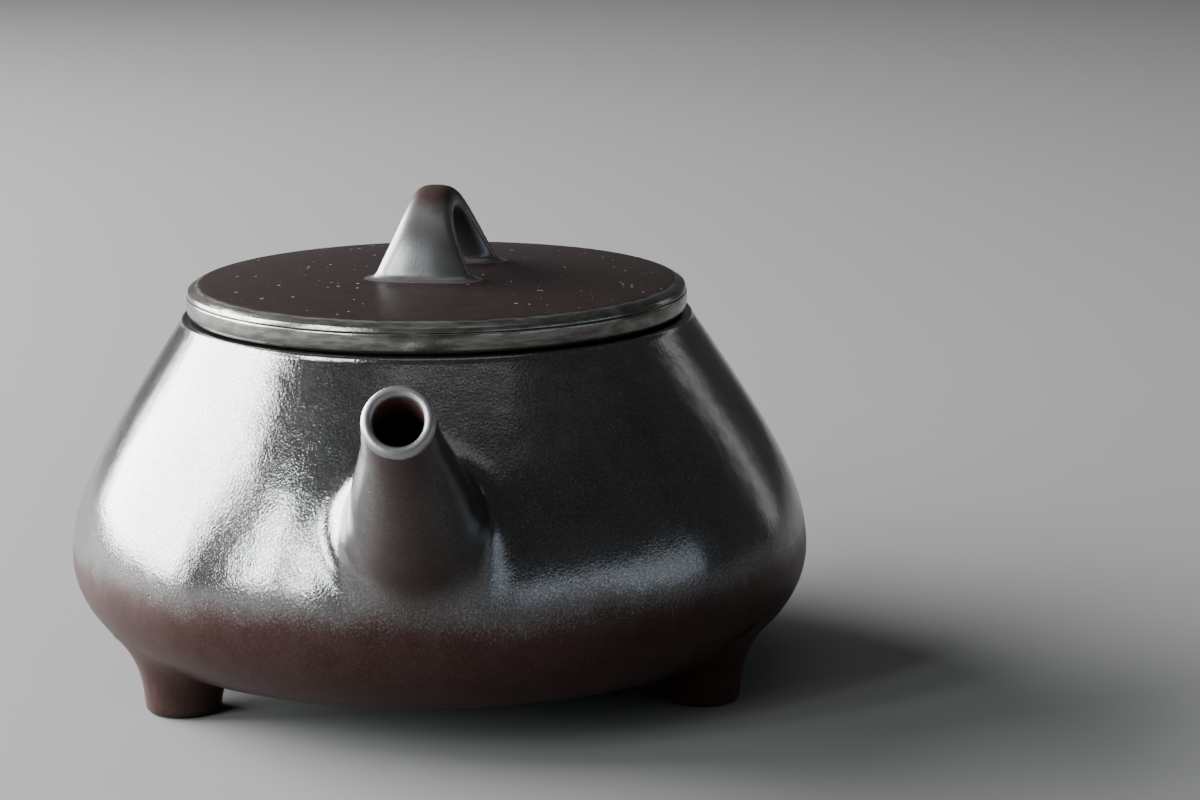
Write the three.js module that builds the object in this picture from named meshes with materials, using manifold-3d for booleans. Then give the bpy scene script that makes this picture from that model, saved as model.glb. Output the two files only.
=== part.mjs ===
// A small three-legged clay teapot for brewing tea by the cup.
//
// Millimetres, +Z up. The origin is on the table under the middle of the pot. The spout
// points along -Y and the handle along +Y. Every piece that the potter forms by itself
// is one mesh. The pieces are luted together, except the lid, which lies loose on the
// mouth. A narrow gap stands for each joint of slip.

import * as THREE from "three";
import { mergeVertices } from "three/addons/utils/BufferGeometryUtils.js";
import Module from "manifold-3d";

const wasm = await Module();
wasm.setup();

// ---------------------------------------------------------------- sizes

const slipJoint = 0.3; // gap that stands for the slip between two luted pieces
const lidPlay = 0.4; // radial play of the lid's flange in the mouth

// body
const bellyRadius = 48;
const bellyHeight = 16.7; // height of the widest place above the table
const baseRadius = 34; // radius at which the wall ends and the base disc begins
const baseHeight = 4.5; // underside of the base above the table
const baseThickness = 2.8;
const wallThickness = 2.6;
const bellyRise = 8.6; // how far the wall goes on upright above the belly
const shoulderBow = 9.2; // control point that gives the upper wall its slight bow, out from the mouth
const shoulderDrop = 14.2; // and down from it

// mouth
const mouthRadius = 33.1;
const mouthHeight = 47.4;
const mouthLedge = 3.6; // width of the ring that the lid lies on
const mouthRingHeight = 2.4;
const mouthEdgeRound = 0.8;

// spout
const spoutReach = 68; // middle of the spout's mouth, from the pot's axis
const spoutDrop = 0.1; // and below the pot's mouth, with which it is nearly level
const spoutRise = 38; // degrees above the horizontal
const spoutMouthTilt = 8; // degrees that its mouth is cut further up than square
const spoutTipRadius = 4.2;
const spoutTipBore = 2.85;
const spoutNeckLength = 5; // nearly parallel stretch below the lip
const spoutNeckRadius = 4.5;
const spoutRootRadius = 8.9;
const spoutRootBore = 5.4;

// strainer behind the spout
const strainerRadius = 8;
const strainerThickness = 1.3;
const strainerHoleRadius = 0.65;
const strainerRings = [
  { tilt: 0, holes: 1 },
  { tilt: 26, holes: 6 },
  { tilt: 51, holes: 10 },
];

// handle
const handleReach = 71; // outermost point from the pot's axis
const handleTopDrop = 7.4; // middle of the upper joint, below the mouth
const handleLowRise = 2.3; // middle of the lower joint, above the belly
const handleCornerDrop = 1.9; // highest run of the handle's middle line, below the mouth
const handleHalfWidth = 3.6; // sideways
const handleHalfDepth = 2.9; // in the plane of the loop
const handleRootSwell = 1.3; // how much stouter it is where it joins the wall

// feet
const footOutset = 4; // of the circle on which the three feet stand, from the edge of the base
const footTurn = 3.8; // degrees that the three are turned from the spout's line
const footRadius = 4.8; // at the table
const footTopRadius = 6.6;
const footTopDrop = 4.7; // below the belly, inside the body before it is trimmed to it
const footEdgeRound = 0.9;

// lid
const lidInset = 0.7; // how much smaller the lid is than the mouth
const lidEdgeHeight = 3.9; // of the whole rounded edge
const lidEdgeBulge = 1.2;
const lidRingHeight = 2.4; // lower part of the edge, a ring luted under the disc
const lidCrown = 1.4; // how much the disc rises to its middle
const flangeThickness = 2.3;
const flangeDepth = 5; // below the mouth's top face
const ventRadius = 1.1;
const lidTurn = 9.5; // degrees that the lid is turned to, away from the spout

// knob, a bridge over the middle of the lid
const knobHalfSpan = 7.7; // from the middle to the middle line of a leg
const knobHeight = 12.2; // above the edge of the lid's disc
const knobHalfThickness = 1.9;
const knobFootThickness = 2.2;
const knobTopHalfWidth = 2.7;
const knobFootHalfWidth = 7.7;

// fineness
const roundSegments = 56;
const undersideSteps = 7;
const upperSteps = 9;
const spoutSegments = 28;
const mouthEdgeSteps = 3;

// ---------------------------------------------------------------- materials

const clay = (color, roughness, metalness) =>
  new THREE.MeshStandardMaterial({ color, roughness, metalness });
const glossyDark = clay(0x35322f, 0.28, 0.35); // fired to a dark, nearly metallic gloss
const satinBrown = clay(0x2e1a16, 0.5, 0.1); // top of the lid
const redBrown = clay(0x46271e, 0.6, 0.05); // where the fire left the clay red
const bareClay = clay(0x5c2f24, 0.8, 0); // inside

// ---------------------------------------------------------------- tools

const rad = THREE.MathUtils.degToRad;
const v2 = (r, z) => new THREE.Vector2(r, z);
const v3 = (x, y, z) => new THREE.Vector3(x, y, z);

// A closed geometry as a solid that can be joined and cut.
function toSolid(geometry) {
  const bare = geometry.clone();
  bare.deleteAttribute("normal");
  bare.deleteAttribute("uv");
  const merged = mergeVertices(bare, 1e-4);
  const corners = merged.index.array;
  const kept = [];
  for (let i = 0; i < corners.length; i += 3) {
    const [a, b, c] = corners.slice(i, i + 3);
    if (a !== b && b !== c && c !== a) kept.push(a, b, c);
  }
  return new wasm.Manifold(
    new wasm.Mesh({
      numProp: 3,
      vertProperties: new Float32Array(merged.attributes.position.array),
      triVerts: new Uint32Array(kept),
    }),
  );
}

// A solid as geometry again, with flat shading.
function toGeometry(solid) {
  const mesh = solid.getMesh();
  const geometry = new THREE.BufferGeometry();
  geometry.setAttribute("position", new THREE.BufferAttribute(mesh.vertProperties, 3));
  geometry.setIndex(new THREE.BufferAttribute(mesh.triVerts, 1));
  geometry.computeVertexNormals();
  return geometry;
}

// Points of a curve, ends included.
const along = (curve, count) => curve.getPoints(count);

// A closed outline in radius and height, turned about +Z.
function turned(outline, segments = roundSegments) {
  const closed = [...outline, outline[0]];
  if (THREE.ShapeUtils.area(outline) < 0) closed.reverse();
  const geometry = new THREE.LatheGeometry(closed, segments);
  return geometry.rotateX(Math.PI / 2);
}

// A plain ring or disc between two radii and two heights.
const ring = (inner, outer, low, high, segments) =>
  turned([v2(inner, low), v2(outer, low), v2(outer, high), v2(inner, high)], segments);

// An open outline moved sideways, to its right when it is walked from first to last.
function shifted(points, distance) {
  return points.map((p, i) => {
    const before = points[Math.max(i - 1, 0)];
    const after = points[Math.min(i + 1, points.length - 1)];
    const way = after.clone().sub(before).normalize();
    return v2(Math.max(p.x + way.y * distance, 0), p.y - way.x * distance);
  });
}

// A closed skin over a row of equal rings of points, with flat ends.
function lofted(rings) {
  const count = rings[0].length;
  const positions = rings.flat().flatMap((p) => p.toArray());
  const faces = [];
  const at = (row, column) => row * count + (column % count);
  for (let row = 0; row + 1 < rings.length; row++)
    for (let column = 0; column < count; column++) {
      faces.push(at(row, column), at(row, column + 1), at(row + 1, column + 1));
      faces.push(at(row, column), at(row + 1, column + 1), at(row + 1, column));
    }
  const last = rings.length - 1;
  for (let column = 1; column + 1 < count; column++) {
    faces.push(at(0, 0), at(0, column + 1), at(0, column));
    faces.push(at(last, 0), at(last, column), at(last, column + 1));
  }
  const geometry = new THREE.BufferGeometry();
  geometry.setAttribute("position", new THREE.Float32BufferAttribute(positions, 3));
  geometry.setIndex(faces);
  return geometry;
}

// A bar of changing rounded section along a curve in the plane of Y and Z.
// size(t) gives half its width, along X, and half its depth, in the plane.
function bar(curve, steps, size, squareness, sides) {
  const side = v3(1, 0, 0);
  const rings = [];
  for (let i = 0; i <= steps; i++) {
    const t = i / steps;
    const middle = curve.getPointAt(t);
    const outward = curve.getTangentAt(t).cross(side).normalize();
    const [halfWidth, halfDepth] = size(t);
    const ringPoints = [];
    for (let k = 0; k < sides; k++) {
      const a = (2 * Math.PI * k) / sides;
      const rounded = (x) => Math.sign(x) * Math.abs(x) ** squareness;
      ringPoints.push(
        middle
          .clone()
          .addScaledVector(side, halfWidth * rounded(Math.cos(a)))
          .addScaledVector(outward, halfDepth * rounded(Math.sin(a))),
      );
    }
    rings.push(ringPoints);
  }
  return lofted(rings);
}

const part = new THREE.Group();

function add(name, solid, material, parent = part) {
  const mesh = new THREE.Mesh(toGeometry(solid), material);
  mesh.name = name;
  parent.add(mesh);
  return mesh;
}

// ---------------------------------------------------------------- body

const mouthBore = mouthRadius - mouthLedge;

// The pot's outer outline, from the edge of the base up to the mouth.
const undersideCurve = new THREE.EllipseCurve(
  baseRadius,
  bellyHeight,
  bellyRadius - baseRadius,
  bellyHeight - baseHeight,
  -Math.PI / 2,
  0,
);
const upperCurve = new THREE.CubicBezierCurve(
  v2(bellyRadius, bellyHeight),
  v2(bellyRadius, bellyHeight + bellyRise),
  v2(mouthRadius + shoulderBow, mouthHeight - shoulderDrop),
  v2(mouthRadius, mouthHeight - mouthEdgeRound),
);
const mouthEdgeCurve = new THREE.EllipseCurve(
  mouthRadius - mouthEdgeRound,
  mouthHeight - mouthEdgeRound,
  mouthEdgeRound,
  mouthEdgeRound,
  0,
  Math.PI / 2,
);
const outerOutline = [
  ...along(undersideCurve, undersideSteps),
  ...along(upperCurve, upperSteps).slice(1),
  ...along(mouthEdgeCurve, mouthEdgeSteps).slice(1),
];
const innerOutline = shifted(outerOutline.slice(0, -mouthEdgeSteps), -wallThickness);

// The whole body as if it were solid clay, grown outward by a distance.
function bodyForm(grown) {
  const outline = grown ? shifted(outerOutline, grown) : outerOutline;
  const low = outline[0].y;
  const high = outline.at(-1).y;
  return toSolid(turned([v2(0, low), ...outline, v2(0, high)]));
}

// The room inside the wall, made smaller all round by a distance and open at its top.
function chamberForm(shrunk) {
  const outline = shrunk ? shifted(innerOutline, -shrunk) : innerOutline;
  const opening = v2(outline.at(-1).x, mouthHeight);
  return toSolid(turned([v2(0, outline[0].y), ...outline, opening, v2(0, mouthHeight)]));
}

const body = bodyForm(0);
const bodyWithSlip = bodyForm(slipJoint);

// Radius of the outer outline at a height above the belly, between its points.
function wallRadius(height) {
  const i = outerOutline.findIndex((p, k) => k > undersideSteps && p.y >= height);
  const [a, b] = [outerOutline[i - 1], outerOutline[i]];
  return a.x + ((b.x - a.x) * (height - a.y)) / (b.y - a.y);
}

const wallTop = mouthHeight - mouthRingHeight;

// ---------------------------------------------------------------- spout

const spoutHeight = mouthHeight - spoutDrop;
const spoutSlope = Math.tan(rad(spoutRise));

// Height at which the spout's axis passes through the outside of the wall.
function spoutRootHeight() {
  let low = bellyHeight;
  let high = spoutHeight;
  for (let i = 0; i < 40; i++) {
    const height = (low + high) / 2;
    const axisRadius = spoutReach - (spoutHeight - height) / spoutSlope;
    if (axisRadius > wallRadius(height)) high = height;
    else low = height;
  }
  return low;
}

const rootHeight = spoutRootHeight();
const rootRadius = wallRadius(rootHeight);
const spoutLength = (spoutHeight - rootHeight) / Math.sin(rad(spoutRise));

// Puts a piece made about +Z, with the spout's mouth at its origin, in its place.
// The shear tilts the mouth.
const mouthShear = Math.tan(rad(spoutMouthTilt));
const toSpout = (geometry) =>
  geometry
    .applyMatrix4(new THREE.Matrix4().makeShear(0, 0, 0, mouthShear, 0, 0))
    .rotateX(rad(90 - spoutRise))
    .translate(0, -spoutReach, spoutHeight);

const lipThickness = spoutTipRadius - spoutTipBore;
const spoutDepth = spoutLength + spoutRootRadius; // reaches into the body, then is trimmed
const spoutOutside = new THREE.CubicBezierCurve(
  v2(spoutNeckRadius, -spoutNeckLength),
  v2(spoutNeckRadius + 0.4, -spoutNeckLength - spoutLength * 0.22),
  v2(spoutRootRadius - 0.7, -spoutLength * 0.7),
  v2(spoutRootRadius, -spoutDepth),
);
const spoutLip = new THREE.EllipseCurve(
  spoutTipBore + lipThickness / 2,
  -lipThickness / 2,
  lipThickness / 2,
  lipThickness / 2,
  Math.PI,
  0,
  true,
);
const spoutOutline = [
  ...along(spoutLip, 6),
  ...along(spoutOutside, 10),
  v2(spoutRootBore, -spoutDepth),
  v2(spoutRootBore, -spoutLength),
];
const spout = toSolid(toSpout(turned(spoutOutline, spoutSegments))).subtract(bodyWithSlip);
add("spout", spout, glossyDark);

// ---------------------------------------------------------------- wall, base and mouth

const spoutHole = toSolid(toSpout(ring(0, spoutRootBore, -spoutDepth, -spoutLength / 2, spoutSegments)));
const aboveWall = toSolid(ring(0, bellyRadius, wallTop, mouthHeight + 1));
const baseHole = toSolid(ring(0, baseRadius, baseHeight - 1, bellyHeight));
const wall = body
  .subtract(chamberForm(0))
  .subtract(baseHole)
  .subtract(aboveWall)
  .subtract(spoutHole);
add("body_wall", wall, glossyDark);

const baseDisc = ring(0, baseRadius - slipJoint, baseHeight, baseHeight + baseThickness);
add("base_disc", toSolid(baseDisc), redBrown);

const mouthBand = toSolid(ring(mouthBore, bellyRadius, wallTop + slipJoint, mouthHeight + 1));
add("mouth_ring", body.intersect(mouthBand), glossyDark);

// ---------------------------------------------------------------- strainer

// A pierced dome over the hole in the wall, on the inside, square to the wall there.
function strainer() {
  const wallLean = Math.atan2(rootRadius - wallRadius(rootHeight + 1), 1);
  const middle = v3(0, -rootRadius, rootHeight).addScaledVector(
    v3(0, Math.cos(wallLean), -Math.sin(wallLean)),
    wallThickness,
  );
  const place = new THREE.Matrix4()
    .makeTranslation(middle)
    .multiply(new THREE.Matrix4().makeRotationX(-Math.PI / 2 - wallLean));
  const inside = strainerRadius - strainerThickness;
  const dome = [
    ...along(new THREE.EllipseCurve(0, 0, strainerRadius, strainerRadius, -Math.PI / 4, Math.PI / 2), 9),
    ...along(new THREE.EllipseCurve(0, 0, inside, inside, -Math.PI / 4, Math.PI / 2), 7).reverse(),
  ];
  let solid = toSolid(turned(dome, 24).applyMatrix4(place)).intersect(chamberForm(slipJoint));
  for (const { tilt, holes } of strainerRings)
    for (let i = 0; i < holes; i++) {
      const drill = new THREE.CylinderGeometry(
        strainerHoleRadius,
        strainerHoleRadius,
        4 * strainerThickness,
        8,
      )
        .rotateX(Math.PI / 2)
        .translate(0, 0, strainerRadius - strainerThickness / 2)
        .rotateX(rad(tilt))
        .rotateZ((2 * Math.PI * i) / holes)
        .applyMatrix4(place);
      solid = solid.subtract(toSolid(drill));
    }
  return solid;
}
add("spout_strainer", strainer(), bareClay);

// ---------------------------------------------------------------- handle

// A loop that runs out from the upper wall, turns a round corner and comes back down
// and inward to the belly.
function handle() {
  const handleTopHeight = mouthHeight - handleTopDrop;
  const handleLowHeight = bellyHeight + handleLowRise;
  const handleCornerHeight = mouthHeight - handleCornerDrop;
  const far = handleReach - handleHalfDepth;
  const topRadius = wallRadius(handleTopHeight) - wallThickness / 2;
  const lowRadius = wallRadius(handleLowHeight) - wallThickness / 2;
  const drop = handleCornerHeight - handleLowHeight;
  const middleLine = new THREE.CatmullRomCurve3(
    [
      v3(0, topRadius, handleTopHeight),
      v3(0, topRadius + (far - topRadius) * 0.35, handleCornerHeight - 0.6),
      v3(0, topRadius + (far - topRadius) * 0.72, handleCornerHeight - 0.4),
      v3(0, far - 1.2, handleCornerHeight - drop * 0.16),
      v3(0, far - 1.2, handleCornerHeight - drop * 0.36),
      v3(0, lowRadius + (far - lowRadius) * 0.62, handleCornerHeight - drop * 0.68),
      v3(0, lowRadius, handleLowHeight),
    ],
    false,
    "centripetal",
  );
  const size = (t) => {
    const swell = 1 + (handleRootSwell - 1) * Math.abs(2 * t - 1) ** 4;
    return [handleHalfWidth * swell, handleHalfDepth * swell];
  };
  return toSolid(bar(middleLine, 26, size, 0.9, 14)).subtract(bodyWithSlip);
}
add("handle", handle(), glossyDark);

// ---------------------------------------------------------------- feet

const footCircle = baseRadius + footOutset;
const footTopHeight = bellyHeight - footTopDrop;
const footOutline = [
  v2(0, 0),
  ...along(
    new THREE.EllipseCurve(
      footRadius - footEdgeRound,
      footEdgeRound,
      footEdgeRound,
      footEdgeRound,
      -Math.PI / 2,
      0,
    ),
    3,
  ),
  ...along(
    new THREE.QuadraticBezierCurve(
      v2(footRadius, footEdgeRound),
      v2(footRadius + 0.5, footTopHeight * 0.5),
      v2(footTopRadius, footTopHeight),
    ),
    5,
  ).slice(1),
  v2(0, footTopHeight),
];

const feet = { foot_front_left: 210, foot_front_right: 330, foot_rear: 90 };
for (const [name, bearing] of Object.entries(feet)) {
  const x = footCircle * Math.cos(rad(bearing + footTurn));
  const y = footCircle * Math.sin(rad(bearing + footTurn));
  const foot = toSolid(turned(footOutline, 28).translate(x, y, 0)).subtract(bodyWithSlip);
  add(name, foot, redBrown);
}

// ---------------------------------------------------------------- lid

const lid = new THREE.Group();
lid.rotation.z = rad(-lidTurn);
part.add(lid);

const lidRadius = mouthRadius - lidInset;
const lidBottom = mouthHeight + slipJoint;
const lidEdgeTop = lidBottom + lidEdgeHeight;
const discBottom = lidBottom + lidRingHeight + slipJoint;
const flangeRadius = mouthBore - lidPlay;
const lidFlat = lidRadius - lidEdgeBulge; // where the top ends and the round edge begins

// The lid as if it were one lump: a round edge and a slightly raised top.
const lidEdgeCurve = new THREE.EllipseCurve(
  lidFlat,
  lidBottom + lidEdgeHeight / 2,
  lidEdgeBulge,
  lidEdgeHeight / 2,
  -Math.PI / 2,
  Math.PI / 2,
);
const lidTopCurve = new THREE.QuadraticBezierCurve(
  v2(lidFlat, lidEdgeTop),
  v2(lidFlat / 2, lidEdgeTop + lidCrown),
  v2(0, lidEdgeTop + lidCrown),
);
const lidOutline = [
  v2(0, lidBottom),
  ...along(lidEdgeCurve, 9),
  ...along(lidTopCurve, 5).slice(1),
];
const lidForm = toSolid(turned(lidOutline));

const discBand = toSolid(ring(ventRadius, bellyRadius, discBottom, lidEdgeTop + knobHeight));
add("lid_disc", lidForm.intersect(discBand), satinBrown, lid);

const ringBand = toSolid(
  ring(flangeRadius + slipJoint, bellyRadius, lidBottom - 1, discBottom - slipJoint),
);
add("lid_edge_ring", lidForm.intersect(ringBand), glossyDark, lid);

const flangeLow = mouthHeight - flangeDepth;
const flangeChamfer = 0.6;
const flangeOutline = [
  v2(flangeRadius - flangeThickness, flangeLow),
  v2(flangeRadius - flangeChamfer, flangeLow),
  v2(flangeRadius, flangeLow + flangeChamfer),
  v2(flangeRadius, discBottom - slipJoint),
  v2(flangeRadius - flangeThickness, discBottom - slipJoint),
];
add("lid_flange", toSolid(turned(flangeOutline)), bareClay);

// ---------------------------------------------------------------- knob

// A strap that stands on two spread feet and narrows to its top.
function knob() {
  const foot = lidEdgeTop - 1; // ends inside the lid, then is trimmed to it
  const rise = knobHeight + 1 - knobHalfThickness;
  const arch = new THREE.CatmullRomCurve3(
    Array.from({ length: 13 }, (_, i) => {
      const a = (Math.PI * i) / 12;
      return v3(0, -knobHalfSpan * Math.cos(a), foot + rise * Math.sin(a));
    }),
    false,
    "centripetal",
  );
  const size = (t) => {
    const height = (arch.getPointAt(t).z - foot) / rise;
    return [
      THREE.MathUtils.lerp(knobFootHalfWidth, knobTopHalfWidth, height),
      THREE.MathUtils.lerp(knobFootThickness, knobHalfThickness, height),
    ];
  };
  const lidWithSlip = lidForm.translate([0, 0, slipJoint]);
  return toSolid(bar(arch, 24, size, 0.75, 20)).subtract(lidWithSlip);
}
add("lid_knob", knob(), glossyDark, lid);

export default part;
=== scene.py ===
import math

import bmesh
import bpy
import numpy as np
from mathutils import Matrix, Vector


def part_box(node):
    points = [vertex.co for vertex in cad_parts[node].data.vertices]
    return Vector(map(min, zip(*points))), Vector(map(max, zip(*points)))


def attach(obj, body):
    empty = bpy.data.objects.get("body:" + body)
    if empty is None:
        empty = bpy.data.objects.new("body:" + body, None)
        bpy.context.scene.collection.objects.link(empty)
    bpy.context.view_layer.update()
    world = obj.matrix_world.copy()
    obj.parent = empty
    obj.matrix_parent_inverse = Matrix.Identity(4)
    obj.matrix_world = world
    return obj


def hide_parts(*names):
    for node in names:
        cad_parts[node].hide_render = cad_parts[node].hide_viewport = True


bl_info = {
    "name": "Tripod Teapot",
    "version": (1, 0, 0),
    "blender": (4, 5, 0),
    "location": "View3D > Sidebar > Teapot",
    "description": "A small clay teapot on three stub feet, built around its fixed frame",
    "category": "Add Mesh",
}

MM = 0.001
TAU = 2 * math.pi
JOINT = 0.3 * MM  # what the frame leaves open between two pieces that are luted together
SEAM = JOINT / 2  # the skins of the two meet in the middle of it
HAIR = 0.02 * MM  # the smallest step that still keeps two points of an outline apart

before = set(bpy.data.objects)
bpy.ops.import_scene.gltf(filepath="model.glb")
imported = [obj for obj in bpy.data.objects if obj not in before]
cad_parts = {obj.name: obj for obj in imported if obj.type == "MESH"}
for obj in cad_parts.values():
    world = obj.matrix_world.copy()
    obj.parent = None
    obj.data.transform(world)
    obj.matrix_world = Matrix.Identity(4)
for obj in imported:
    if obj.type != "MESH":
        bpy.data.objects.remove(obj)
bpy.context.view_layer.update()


def low(node):
    """Lowest corner of a piece of the frame."""
    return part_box(node)[0]


def high(node):
    """Highest corner of a piece of the frame."""
    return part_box(node)[1]


# ---------------------------------------------------------------- sizes and colours


def length(name, description, default):
    return bpy.props.FloatProperty(
        name=name, description=description, default=default, unit="LENGTH", precision=5
    )


def angle(name, description, degrees):
    return bpy.props.FloatProperty(
        name=name, description=description, default=math.radians(degrees), unit="ROTATION"
    )


def colour(name, description, default):
    return bpy.props.FloatVectorProperty(
        name=name, description=description, default=default, subtype="COLOR", size=3, min=0, max=1
    )


class TeapotSizes(bpy.types.PropertyGroup):
    """Sizes of the pot. The defaults stand in the frame."""

    # body
    belly_radius: length("Belly radius", "Widest radius of the body", high("body_wall").x)
    belly_height: length("Belly height", "Height of the widest place", 16.7 * MM)
    belly_rise: length("Belly rise", "How far the wall goes on upright above the belly", 8.6 * MM)
    base_radius: length("Base radius", "Radius of the flat underside", high("base_disc").x + JOINT)
    base_height: length("Base height", "Underside of the base above the table", low("base_disc").z)
    base_thickness: length("Base thickness", "Thickness of the bottom", 2.8 * MM)
    base_hollow: length("Base hollow", "How far the underside rises to its middle", 0.5 * MM)
    wall: length("Wall", "Thickness of the body wall", 2.6 * MM)
    shoulder_bow: length("Shoulder bow", "Outward reach of the upper wall's bow", 9.2 * MM)
    shoulder_drop: length("Shoulder drop", "Downward reach of the upper wall's bow", 14.2 * MM)
    mouth_radius: length("Mouth radius", "Outer radius of the mouth", 33.1 * MM)
    mouth_height: length("Mouth height", "Top of the mouth above the table", high("mouth_ring").z)
    mouth_ledge: length("Mouth ledge", "Width of the ring that the lid lies on", 3.6 * MM)
    mouth_ring: length("Mouth ring", "Height of the ring luted on the wall", 2.25 * MM)
    mouth_round: length("Mouth edge", "Rounding of the mouth's outer edge", 0.5 * MM)
    hand_swell: length("Hand swell", "Unevenness of the wall from shaping by hand", 0.1 * MM)

    # spout
    spout_reach: length("Spout reach", "Middle of the spout's mouth from the axis", 68 * MM)
    spout_level: length("Spout level", "Middle of the spout's mouth, below the pot's mouth", 0.1 * MM)
    spout_rise: angle("Spout rise", "Slope of the spout above the horizontal", 38)
    spout_cut: angle("Spout cut", "How far its mouth is cut further up than square", 8)
    spout_tip: length("Spout tip", "Outer radius at the mouth", 4.2 * MM)
    spout_bore: length("Spout bore", "Radius of the bore at the mouth", 2.85 * MM)
    spout_neck: length("Spout neck", "Radius below the lip", 4.5 * MM)
    spout_neck_length: length("Neck length", "Nearly parallel stretch below the lip", 5 * MM)
    spout_root: length("Spout root", "Outer radius where it enters the wall", 8.9 * MM)
    spout_root_bore: length("Root bore", "Radius of the bore where it enters the wall", 5.4 * MM)
    spout_fillet: length("Spout fillet", "Smoothed joint of spout and wall", 5.2 * MM)

    # handle
    handle_reach: length("Handle reach", "Outermost point from the axis", 71 * MM)
    handle_width: length("Handle width", "Half the width of the handle", 3.6 * MM)
    handle_depth: length("Handle depth", "Half its depth in the plane of the loop", 2.9 * MM)
    handle_top: length("Upper joint", "Middle of the upper joint, below the mouth", 7.4 * MM)
    handle_low: length("Lower joint", "Middle of the lower joint, above the belly", 2.3 * MM)
    handle_corner: length("Corner drop", "Highest run of the handle, below the mouth", 1.9 * MM)
    handle_fillet: length("Handle fillet", "Smoothed joint of handle and wall", 4 * MM)

    # feet
    foot_circle: length("Foot circle", "Radius on which the feet stand", 38 * MM)
    foot_turn: angle("Foot turn", "How far the three are turned from the spout's line", 3.8)
    foot_sole: length("Foot radius", "Radius at the table", 4.8 * MM)
    foot_top: length("Foot top", "Radius inside the body", 6.6 * MM)
    foot_edge: length("Foot edge", "Rounding of the sole's edge", 0.9 * MM)
    foot_fillet: length("Foot fillet", "Smoothed joint of foot and underside", 4 * MM)

    # lid
    lid_radius: length("Lid radius", "Outer radius of the lid", 32.4 * MM)
    lid_gap: length("Lid gap", "Gap under the lid", 0.12 * MM)
    lid_edge: length("Lid edge", "Height of the lid's rounded edge", 4.08 * MM)
    lid_bulge: length("Lid bulge", "How far the edge stands out past the flat top", 1.2 * MM)
    lid_crown: length("Lid crown", "How much the top rises to its middle", 1.4 * MM)
    lid_crease: length("Lid crease", "Height of the crease between disc and ring", 2.73 * MM)
    lid_turn: angle("Lid turn", "How far the lid lies turned from the spout's line", -9.5)
    vent: length("Vent", "Radius of the air hole", 1.1 * MM)
    flange_play: length("Flange play", "Radial play of the flange in the mouth", 0.4 * MM)
    flange: length("Flange", "Thickness of the flange", 2.3 * MM)
    flange_depth: length("Flange depth", "How far the flange reaches below the mouth", 5 * MM)

    # knob
    knob_span: length("Knob span", "From the middle of the lid to the middle of a leg", 7.7 * MM)
    knob_rise: length("Knob rise", "Height of the knob above the lid's edge", 12.2 * MM)
    knob_thickness: length("Knob thickness", "Half the thickness at the top", 1.9 * MM)
    knob_foot_thickness: length("Knob foot thickness", "Half the thickness at a foot", 2.2 * MM)
    knob_width: length("Knob width", "Half the width at the top", 2.7 * MM)
    knob_foot_width: length("Knob foot width", "Half the width at a foot", 7.7 * MM)
    knob_fillet: length("Knob fillet", "Smoothed joint of knob and lid", 1.3 * MM)

    # strainer
    strainer_radius: length("Strainer radius", "Outer radius of the dome", 8 * MM)
    strainer_thickness: length("Strainer thickness", "Thickness of the dome", 1.3 * MM)
    strainer_hole: length("Strainer hole", "Radius of one hole", 0.65 * MM)


class TeapotColours(bpy.types.PropertyGroup):
    """Colours of the fired clay and of the stage."""

    lustre: colour("Lustre", "Dark skin that the fire left nearly metallic", (0.16, 0.156, 0.155))
    lustre_deep: colour("Deep lustre", "Darker clouds in the skin", (0.128, 0.124, 0.122))
    grain_bright: colour("Bright grain", "Bright grains in the skin", (0.23, 0.226, 0.224))
    grain_dark: colour("Dark grain", "Dark grains in the skin", (0.11, 0.107, 0.105))
    pinhole: colour("Pinhole", "Bottom of a pinhole", (0.02, 0.012, 0.01))
    rubbed: colour("Rubbed lip", "Rim of the spout, rubbed pale", (0.3, 0.29, 0.29))
    # The red-brown clay tones below also go on downward faces as painted shade.
    blush: colour("Blush", "Red-brown clay where the skin thins out", (0.024, 0.0085, 0.0066))
    blush_pale: colour("Pale blush", "Paler brown on the lower wall", (0.03, 0.0135, 0.011))
    blush_grain: colour("Blush grain", "Pale grains in the brown", (0.045, 0.022, 0.018))
    band_pale: colour("Pale band", "Pale streaks of the lid's edge", (0.23, 0.225, 0.205))
    band_dark: colour("Dark band", "Dark streaks of the lid's edge", (0.11, 0.104, 0.092))
    # Painted shade: a darker tone for the lid's edge where it turns under and faces down.
    band_underside_shade: colour("Band's underside", "Edge of the lid where it turns under", (0.055, 0.052, 0.047))
    lid_brown: colour("Lid brown", "Satin top of the lid", (0.0075, 0.0033, 0.0027))
    lid_mottle: colour("Lid mottle", "Paler clouds on top of the lid", (0.012, 0.0055, 0.0044))
    knob_brown: colour("Knob brown", "Worn top and feet of the knob", (0.026, 0.012, 0.01))
    inner_clay: colour("Inner clay", "Bare clay inside the pot", (0.075, 0.022, 0.017))
    inner_shade: colour("Inner shade", "Darker clouds in the bare clay", (0.045, 0.014, 0.011))
    grit_pale: colour("Pale grit", "Pale grit in the bare clay", (0.12, 0.06, 0.045))
    grit_dark: colour("Dark grit", "Dark grit in the bare clay", (0.02, 0.008, 0.007))
    dust: colour("Dust", "Pale specks of dust", (0.22, 0.2, 0.18))
    floor: colour("Floor", "Plain pale floor", (0.165, 0.162, 0.157))


# ---------------------------------------------------------------- outlines


def arc(centre, radii, start, stop, count):
    """Points (radius, height) of an elliptic arc, angles in degrees."""
    t = np.radians(np.linspace(start, stop, count))
    return np.column_stack([centre[0] + radii[0] * np.cos(t), centre[1] + radii[1] * np.sin(t)])


def bezier(points, count):
    """Points of a Bezier curve of any degree and dimension."""
    p = np.asarray(points, float)
    n = len(p) - 1
    t = np.linspace(0, 1, count)[:, None]
    return sum(math.comb(n, i) * (1 - t) ** (n - i) * t**i * p[i] for i in range(n + 1))


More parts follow.
